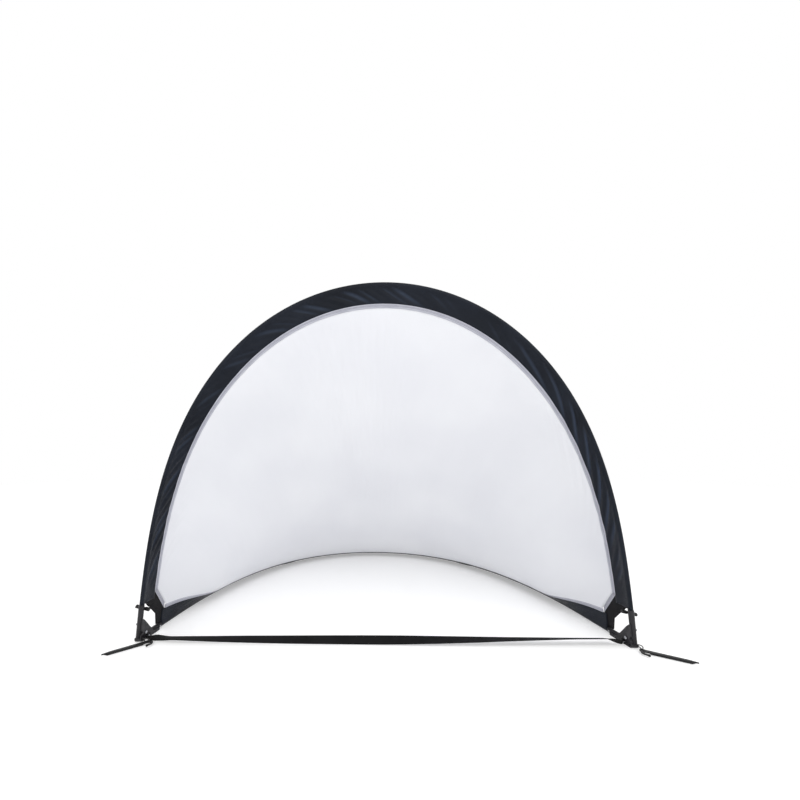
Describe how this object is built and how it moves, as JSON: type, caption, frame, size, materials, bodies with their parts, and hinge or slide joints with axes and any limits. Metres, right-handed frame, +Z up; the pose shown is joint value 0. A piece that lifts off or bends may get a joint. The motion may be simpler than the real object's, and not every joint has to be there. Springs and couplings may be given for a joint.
{
  "type": "pop up goal",
  "caption": "Folding lawn goal: a bent-pole arch hinged to a ground hoop by plastic corner brackets, with fabric sleeves, a sloping net, a front strap and ground pegs.",
  "frame": {"origin": "on the ground under the middle of the goal's footprint, pegs left out", "axes": "+Z up, +X to the right across the mouth, the mouth faces -Y and the ground hoop runs towards +Y"},
  "size_m": [1.6315, 1.1615, 1.0839],
  "materials": {
    "pole": "pultruded glass fibre rod",
    "ferrule": "drawn tube",
    "sleeve": "woven nylon, slight sheen",
    "gusset": "coarse woven nylon",
    "net": "fine knitted polyester mesh",
    "binding": "woven tape",
    "strap": "flat webbing",
    "elastic": "braided elastic cord",
    "bracket": "moulded, fine spark texture",
    "toggle": "moulded",
    "peg": "moulded",
    "steel": "zinc plated"
  },
  "bodies": {
    "rear_frame": {"rear_pole_left": "pole", "rear_pole_middle": "pole", "rear_pole_right": "pole", "rear_ferrule_left": "ferrule", "rear_ferrule_right": "ferrule", "rear_sleeve": "sleeve", "front_binding": "binding", "rear_binding": "binding", "net": "net", "front_strap": "strap", "left_rear_bracket": "bracket", "left_hinge_rivet": "steel", "left_rear_screw": "steel", "left_gusset": "gusset", "left_corner_binding": "binding", "left_strap_rivet": "steel", "right_rear_bracket": "bracket", "right_hinge_rivet": "steel", "right_rear_screw": "steel", "right_gusset": "gusset", "right_corner_binding": "binding", "right_strap_rivet": "steel"},
    "front_arch": {"front_pole_left": "pole", "front_pole_middle": "pole", "front_pole_right": "pole", "front_ferrule_left": "ferrule", "front_ferrule_right": "ferrule", "front_sleeve": "sleeve", "left_front_socket": "bracket", "left_front_screw": "steel", "left_toggle": "toggle", "right_front_socket": "bracket", "right_front_screw": "steel", "right_toggle": "toggle"},
    "left_peg_loop": {"left_peg_cord": "elastic"},
    "left_peg": {"left_ground_peg": "peg"},
    "right_peg_loop": {"right_peg_cord": "elastic"},
    "right_peg": {"right_ground_peg": "peg"}
  },
  "joints": [
    {"name": "arch_fold", "type": "hinge", "parent": "rear_frame", "child": "front_arch", "pos_m": [0, -0.518, 0.022], "axis": [-1, 0, 0], "range_deg": [0, 90], "stiffness_Nm_per_rad": 2.2, "springref_deg": -34.38, "deforming": ["front_sleeve", "rear_sleeve", "net", "front_binding", "rear_binding", "left_gusset", "right_gusset", "left_corner_binding", "right_corner_binding"]},
    {"name": "left_loop_swing", "type": "hinge", "parent": "rear_frame", "child": "left_peg_loop", "pos_m": [-0.7272, -0.5325, 0.0075], "axis": [0, 0, 1], "range_deg": [-30, 5]},
    {"name": "left_peg_tilt", "type": "hinge", "parent": "left_peg_loop", "child": "left_peg", "pos_m": [-0.699, -0.5425, 0.0065], "axis": [-0.6626, 0.749, 0], "range_deg": [0, 80], "deforming": ["left_peg_cord"]},
    {"name": "right_loop_swing", "type": "hinge", "parent": "rear_frame", "child": "right_peg_loop", "pos_m": [0.7476, -0.5325, 0.0075], "axis": [0, 0, 1], "range_deg": [-12, 30]},
    {"name": "right_peg_tilt", "type": "hinge", "parent": "right_peg_loop", "child": "right_peg", "pos_m": [0.743, -0.561, 0.0065], "axis": [-0.515, -0.8572, 0], "range_deg": [0, 80], "deforming": ["right_peg_cord"]}
  ]
}
